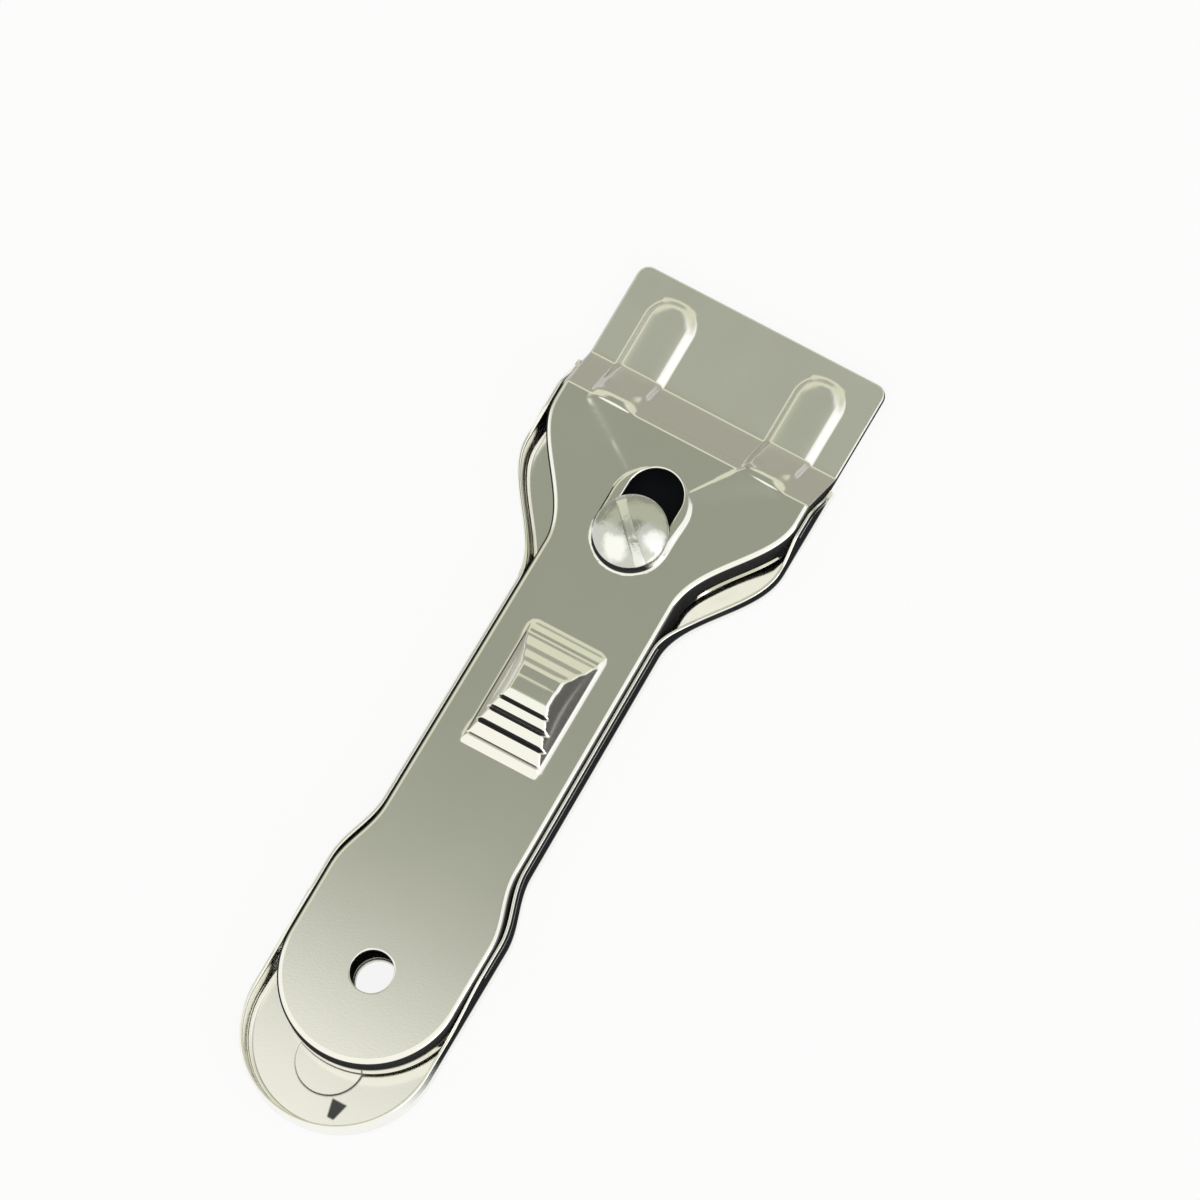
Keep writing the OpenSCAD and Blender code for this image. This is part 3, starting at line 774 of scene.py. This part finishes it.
def new_group(name, inputs):
    """A node group that turns numbers, given with their defaults, into one mask."""
    group = bpy.data.node_groups.new(name, "ShaderNodeTree")
    for label, value in inputs.items():
        socket = group.interface.new_socket(label, in_out="INPUT", socket_type="NodeSocketFloat")
        socket.default_value = value
    group.interface.new_socket("Mask", in_out="OUTPUT", socket_type="NodeSocketFloat")
    enter = group.nodes.new("NodeGroupInput")
    leave = group.nodes.new("NodeGroupOutput")
    return group, enter.outputs, leave.inputs["Mask"]


def table_reflection_group():
    """Mask of the places painted dark as a painted reflection of a dark table close to the tool, where the
    mirrored ray points below the horizon.
    """
    group, given, mask = new_group("PaintedTableReflection", {"Sideways Only": 0.0})
    geometry = group.nodes.new("ShaderNodeNewGeometry")
    normal = axes(group, geometry.outputs["Normal"])
    incoming = axes(group, geometry.outputs["Incoming"])
    toward = vector_node(group, "DOT_PRODUCT", geometry.outputs["Normal"], geometry.outputs["Incoming"])
    upward = product(group, toward, 2.0, normal["Z"])
    mirrored = math_node(group, "SUBTRACT", upward, incoming["Z"])
    below = fade_node(group, mirrored, 0.12, -0.12)
    sideways = fade_node(group, normal["X"], 0.55, 0.8)
    choice = group.nodes.new("ShaderNodeMix")
    for name, value in (("Factor", given["Sideways Only"]), ("A", 1.0), ("B", sideways)):
        feed(group, choice.inputs[name], value)
    group.links.new(product(group, below, choice.outputs["Result"]), mask)
    return group


def crease_shade_group():
    """Mask of painted shade in tight creases, darker where ambient occlusion finds them hemmed in."""
    group, given, mask = new_group("PaintedCreaseShade", {"Reach": 0.6 * MM, "Strength": 1.0})
    shade = group.nodes.new("ShaderNodeAmbientOcclusion")
    shade.samples = 8
    group.links.new(given["Reach"], shade.inputs["Distance"])
    creased = fade_node(group, shade.outputs["AO"], 0.86, 0.5)
    group.links.new(product(group, creased, given["Strength"]), mask)
    return group


# Nickel

def dulled_polish(tree, place, y, roughness):
    """Roughness of polished plate: a little uneven, and duller on the worn guard."""
    cloud = noise_node(tree, place, 60.0, 3.0)
    polish = range_node(tree, cloud, 0.0, 1.0, roughness * 0.8, roughness * 1.25)
    guard = along_fade(tree, y, BEND_Y - 1.5, BEND_Y + 1.0)
    return math_node(tree, "ADD", polish, product(tree, guard, 0.12))


def painted_table_reflection(tree, table_reflection, x, y, z, is_tray):
    """Share of the sheet painted dark as a painted reflection of a dark table, with the grip's left flank
    mostly spared.
    """
    mirrored = group_node(tree, table_reflection)
    geometry = tree.nodes.new("ShaderNodeNewGeometry")
    leftward = fade_node(tree, axes(tree, geometry.outputs["Normal"])["X"], -0.2, -0.5)
    on_grip = fade_node(tree, z, 6.8 * MM, 7.3 * MM)
    share = math_node(tree, "SUBTRACT", 1.0, product(tree, on_grip, leftward, 0.78))
    if is_tray:
        mirrored.inputs["Sideways Only"].default_value = 1.0
        high = fade_node(tree, z, 2.4 * MM, 3.1 * MM)
        right = product(tree, fade_node(tree, x, 0.0, 1.0 * MM), along_fade(tree, y, 9.0, 20.0))
        share = product(tree, share, high, right)
    else:
        on_step = along_fade(tree, y, STEP_Y - 1.0, STEP_Y)
        tree.links.new(product(tree, on_step, 0.6), mirrored.inputs["Sideways Only"])
        high = fade_node(tree, z, 2.8 * MM, 3.8 * MM)
        ahead = along_fade(tree, y, 55.0, 75.0)
        share = product(tree, share, math_node(tree, "MAXIMUM", high, ahead))
    return product(tree, mirrored.outputs["Mask"], share)


def clamp_well_shade(tree, across, from_screw, z):
    """Painted shade in the well under the clamp, round the bush and the slot."""
    well_x, well_y, well_middle, well_z = (8.5, 10.5), (12.0, 15.0), 4.0, (5.6, 6.0)
    near_x = fade_node(tree, across, well_x[1] * MM, well_x[0] * MM)
    along = math_node(tree, "ABSOLUTE", math_node(tree, "SUBTRACT", from_screw, well_middle * MM), 0.0)
    near_y = fade_node(tree, along, well_y[1] * MM, well_y[0] * MM)
    inside = fade_node(tree, z, well_z[1] * MM, well_z[0] * MM)
    return product(tree, near_x, near_y, inside)


def tail_reflection_mark(tree, x, y):
    """The dark mark on the tray's floor at the tail, wider towards its front: a painted reflection."""
    mark_x, mark_y, half_w, widening, soft_w = 4.6, 5.1, 0.95, 0.25, 0.2
    half_l, strength = (1.3, 1.7), 0.93
    from_x = math_node(tree, "ABSOLUTE", math_node(tree, "SUBTRACT", x, mark_x * MM), 0.0)
    from_y = math_node(tree, "SUBTRACT", y, (TAIL + mark_y) * MM)
    reach = math_node(tree, "ADD", product(tree, from_y, widening), half_w * MM)
    inside_x = fade_node(tree, math_node(tree, "SUBTRACT", from_x, reach), soft_w * MM, -soft_w * MM)
    inside_y = fade_node(tree, math_node(tree, "ABSOLUTE", from_y, 0.0), half_l[1] * MM, half_l[0] * MM)
    return product(tree, inside_x, inside_y, strength)


def washer_shade(tree, across, from_screw):
    """The shade round the washer, on the pad behind the screw."""
    ring_r, behind_y = (6.42, 6.52), (-2.2, -4.0)
    behind = fade_node(tree, from_screw, behind_y[0] * MM, behind_y[1] * MM)
    squares = (product(tree, across, across), product(tree, from_screw, from_screw))
    away = math_node(tree, "SQRT", math_node(tree, "ADD", *squares), 0.0)
    return product(tree, fade_node(tree, away, ring_r[1] * MM, ring_r[0] * MM), behind)


def nickel(name, base, dark, roughness, table_reflection, crease_shade, is_tray):
    """Polished nickel plate on pressed sheet: painted dark as a reflection of a dark table, with painted
    shade in creases, in the well round the clamp and round the washer, a painted reflection at the tray's
    tail, and duller on the worn guard."""
    material, tree, shader = new_material(name)
    shader.inputs["Specular IOR Level"].default_value = 0.0
    place = object_place(tree)
    x, y, z = axes(tree, place)
    tree.links.new(dulled_polish(tree, place, y, roughness), shader.inputs["Roughness"])
    grain = noise_node(tree, place, 2600.0, 2.0)
    tree.links.new(bump_node(tree, grain, 0.25, 0.008), shader.inputs["Normal"])

    across = math_node(tree, "ABSOLUTE", x, 0.0)
    from_screw = math_node(tree, "SUBTRACT", y, (SCREW_Y + TAIL) * MM)
    own_mark = tail_reflection_mark(tree, x, y) if is_tray else washer_shade(tree, across, from_screw)
    # Painted reflection and painted shade: each mask darkens the colour and takes the metal away.
    dark_share = painted_table_reflection(tree, table_reflection, x, y, z, is_tray)
    creases = group_node(tree, crease_shade).outputs["Mask"]
    for mask in (creases, clamp_well_shade(tree, across, from_screw, z), own_mark):
        dark_share = math_node(tree, "MAXIMUM", dark_share, mask)
    tree.links.new(math_node(tree, "SUBTRACT", 1.0, dark_share), shader.inputs["Metallic"])
    tree.links.new(colour_mix(tree, dark_share, base, dark), shader.inputs["Base Color"])
    return material


# Steel

def plain_metal(name, base, roughness, scale):
    """Turned or ground steel with a fine grain."""
    material, tree, shader = new_material(name)
    shader.inputs["Metallic"].default_value = 1.0
    feed(tree, shader.inputs["Base Color"], base)
    grain = noise_node(tree, object_place(tree), scale, 4.0)
    rough = range_node(tree, grain, 0.0, 1.0, roughness * 0.7, roughness * 1.4)
    tree.links.new(rough, shader.inputs["Roughness"])
    tree.links.new(bump_node(tree, grain, 0.3, 0.01), shader.inputs["Normal"])
    return material


def highlight_spots(tree, centred, patches):
    """Two painted highlights on the dome, with uneven edges."""
    spot_z, soft_w, wobble_w = screw_high[2] - 0.9, 1.3, 3.0
    wobble = math_node(tree, "MULTIPLY_ADD", patches, wobble_w * MM, -wobble_w / 2 * MM)
    highlight = 0.0
    for x, y, reach in ((-0.6, -3.9, 2.8), (4.8, 0.1, 2.4)):
        distance = vector_node(tree, "DISTANCE", centred, (x * MM, y * MM, spot_z * MM))
        away = math_node(tree, "ADD", distance, wobble)
        spot = fade_node(tree, away, reach * MM, (reach - soft_w) * MM)
        highlight = math_node(tree, "MAXIMUM", spot, highlight)
    return highlight


def turned_zinc(name, crease_shade):
    """Bright zinc-plated steel with faint turning marks round the screw's axis, a painted highlight in its
    slot and on two spots of the dome, and painted shade in its creases.
    """
    material, tree, shader = new_material(name)
    shader.inputs["Metallic"].default_value = 1.0
    place = object_place(tree)
    centred = vector_node(tree, "SUBTRACT", place, (0, (SCREW_Y + TAIL) * MM, 0))
    rings = tree.nodes.new("ShaderNodeTexWave")
    rings.wave_type = "RINGS"
    rings.rings_direction = "Z"
    for label, value in (("Scale", 900.0), ("Distortion", 2.0), ("Detail", 2.0)):
        rings.inputs[label].default_value = value
    tree.links.new(centred, rings.inputs["Vector"])
    patches = noise_node(tree, place, 380.0, 3.0)
    tree.links.new(range_node(tree, patches, 0.3, 0.7, 0.14, 0.3), shader.inputs["Roughness"])

    turn = math.radians(DRIVER_TURN)
    slot_line = vector_node(tree, "DOT_PRODUCT", centred, (-math.sin(turn), math.cos(turn), 0))
    from_slot = math_node(tree, "ABSOLUTE", slot_line, 0.0)
    in_slot = fade_node(tree, from_slot, (DRIVER_W / 2 + 0.01) * MM, (DRIVER_W / 2 - 0.05) * MM)
    shade = math_node(tree, "MAXIMUM", highlight_spots(tree, centred, patches), product(tree, in_slot, 0.72))
    creases = group_node(tree, crease_shade)
    creases.inputs["Reach"].default_value = 0.4 * MM
    shade = math_node(tree, "SUBTRACT", shade, creases.outputs["Mask"])
    # The base colour is lightened for painted highlights in the slot and on the dome, and darkened for
    # painted crease shade.
    tone = colour_mix(tree, shade, (0.60, 0.61, 0.57), (0.97, 0.97, 0.95))
    tree.links.new(tone, shader.inputs["Base Color"])

    marks = bump_node(tree, rings.outputs["Fac"], 0.05, 0.04)
    dents = bump_node(tree, patches, 0.5, 0.3)
    tree.links.new(marks, dents.node.inputs["Normal"])
    tree.links.new(dents, shader.inputs["Normal"])
    return material


def surface_mix(tree, share, below, above):
    """Ends a material in a blend of two shaders."""
    mix = tree.nodes.new("ShaderNodeMixShader")
    tree.links.new(share, mix.inputs["Fac"])
    tree.links.new(below.outputs[0], mix.inputs[1])
    tree.links.new(above.outputs[0], mix.inputs[2])
    tree.links.new(mix.outputs[0], tree.nodes["Material Output"].inputs["Surface"])


def floor_material():
    """White floor that keeps a soft shadow."""
    material, tree, shader = new_material("studio_floor")
    tree.nodes.remove(shader)
    diffuse = tree.nodes.new("ShaderNodeBsdfDiffuse")
    feed(tree, diffuse.inputs["Color"], (0.85, 0.85, 0.85))
    glow = tree.nodes.new("ShaderNodeEmission")
    path = tree.nodes.new("ShaderNodeLightPath").outputs
    seen = math_node(tree, "ADD", path["Is Camera Ray"], path["Is Glossy Ray"])
    seen = math_node(tree, "ADD", seen, path["Is Transmission Ray"])
    seen.node.use_clamp = True
    surface_mix(tree, product(tree, seen, 0.88), diffuse, glow)
    return material


def paint(piece, material):
    piece.data.materials.clear()
    piece.data.materials.append(material)


# Studio, in metres except where MM turns millimetres into them

def make_floor():
    bpy.ops.object.select_all(action="DESELECT")
    bpy.ops.mesh.primitive_plane_add(size=6.0, location=(0, 0, -0.00002))
    floor = bpy.context.object
    floor.name = "studio_floor"
    paint(floor, floor_material())


def make_world():
    """A studio of cards: grey overhead and low on the left and in front, white to the right and
    behind, a cream band between the greys, and white where the camera sees it."""
    world = bpy.data.worlds.new("studio")
    bpy.context.scene.world = world
    world.use_nodes = True
    tree = world.node_tree
    direction = axes(tree, tree.nodes.new("ShaderNodeTexCoord").outputs["Generated"])

    def edge(axis, low, high):
        return fade_node(tree, direction[axis], low, high)

    white, cream = (1.0, 1.0, 0.98), (0.72, 0.73, 0.58)
    overhead, low_grey, horizon_grey = (0.325, 0.34, 0.275), (0.39, 0.385, 0.325), (0.10, 0.10, 0.09)
    sky = colour_mix(tree, edge("Z", 0.80, 0.90), cream, overhead)
    sky = colour_mix(tree, edge("Z", 0.42, 0.26), sky, low_grey)
    right_card = colour_mix(tree, edge("Z", 0.48, 0.30), white, horizon_grey)
    to_right = product(tree, edge("X", -0.08, 0.12), edge("Y", 0.62, 0.42))
    sky = colour_mix(tree, to_right, sky, right_card)
    sky = colour_mix(tree, edge("Y", 0.09, -0.06), sky, white)
    camera_ray = tree.nodes.new("ShaderNodeLightPath").outputs["Is Camera Ray"]
    seen = colour_mix(tree, camera_ray, sky, (1.0, 1.0, 1.0))
    tree.links.new(seen, tree.nodes["Background"].inputs["Color"])


def make_tail_card():
    """A white card over the tail, fading out towards the head, that only reflections show."""
    card_y, fade_start, fade_end, fall_off = -0.55, 0.015, 0.125, 5.4
    bpy.ops.object.select_all(action="DESELECT")
    bpy.ops.mesh.primitive_plane_add(size=1.6, location=(-0.131, card_y, 0.45))
    card = bpy.context.object
    card.name = "tail_card"
    material, tree, shader = new_material("tail_card")
    tree.nodes.remove(shader)
    y = axes(tree, object_place(tree))["Y"]
    fade = range_node(tree, y, fade_start - card_y, fade_end - card_y, 1.0, 0.0)
    glossy_ray = tree.nodes.new("ShaderNodeLightPath").outputs["Is Glossy Ray"]
    glow = tree.nodes.new("ShaderNodeEmission")
    feed(tree, glow.inputs["Color"], (1.0, 1.0, 0.93))
    clear = tree.nodes.new("ShaderNodeBsdfTransparent")
    surface_mix(tree, product(tree, math_node(tree, "POWER", fade, fall_off), glossy_ray), clear, glow)
    paint(card, material)


def make_lamp(name, place, target, size, energy):
    lamp = bpy.data.lights.new(name, "AREA")
    lamp.size = size
    lamp.energy = energy
    holder = bpy.data.objects.new(name, lamp)
    bpy.context.collection.objects.link(holder)
    holder.location = place
    holder.visible_camera = False
    holder.rotation_euler = (Vector(target) - Vector(place)).to_track_quat("-Z", "Y").to_euler()


def make_camera():
    """A distant camera nearly straight above, leaning right and to the tail."""
    distance, sensor_w = 5.0, 36.0
    picture_w, px_per_mm = 1200, 6.4245
    target_x, target_y = 0.987, 21.537
    right = Vector((0.85128, 0.50275, -0.15025)).normalized()
    back = Vector((0.27503, -0.18367, 0.94373)).normalized()
    up = back.cross(right)
    right = up.cross(back)
    target = Vector((target_x * MM, target_y * MM, FACE_Z * MM))
    camera = bpy.data.cameras.new("camera")
    camera.sensor_width = sensor_w
    camera.lens = sensor_w * distance / (picture_w / px_per_mm * MM)
    camera.clip_start = 0.01
    camera.clip_end = 50.0
    holder = bpy.data.objects.new("camera", camera)
    bpy.context.collection.objects.link(holder)
    turn = Matrix((right, up, back)).transposed().to_4x4()
    holder.matrix_world = Matrix.Translation(target + back * distance) @ turn
    bpy.context.scene.camera = holder


bpy.context.scene.view_settings.view_transform = "Standard"
make_camera()
make_world()
make_floor()
make_tail_card()
make_lamp("right_softbox", (1.1, -0.2, 0.7), (0, 0, 0), 0.8, 3)

table_reflection = table_reflection_group()
crease_shade = crease_shade_group()
# The second colour is the painted dark of the reflections and shade, not a darker plate.
nickel_plate = nickel("nickel_plate", (0.92, 0.91, 0.86), (0.035, 0.035, 0.035), 0.12, table_reflection, crease_shade, False)
tray_plate = nickel("tray_plate", (0.92, 0.91, 0.86), (0.02, 0.022, 0.025), 0.14, table_reflection, crease_shade, True)
bright_steel = plain_metal("bright_steel", (0.78, 0.78, 0.77), 0.25, 900)
blade_steel = plain_metal("blade_steel", (0.62, 0.63, 0.63), 0.3, 1500)

cover = make_cover()
paint(cover, nickel_plate)
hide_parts("front_cover")
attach(cover, "cover")

tray = make_tray()
paint(tray, tray_plate)
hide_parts("rear_tray")
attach(tray, "tray")

screw = make_screw()
paint(screw, turned_zinc("turned_zinc", crease_shade))
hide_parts("clamp_screw")
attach(screw, "screw")

finishes = {
    "slide_spring": tray_plate, "threaded_bush": tray_plate, "blade": blade_steel,
    "spring_rivet": bright_steel, "blade_studs": bright_steel, "washer": bright_steel}
for node, material in finishes.items():
    paint(frame["nodes"][node], material)
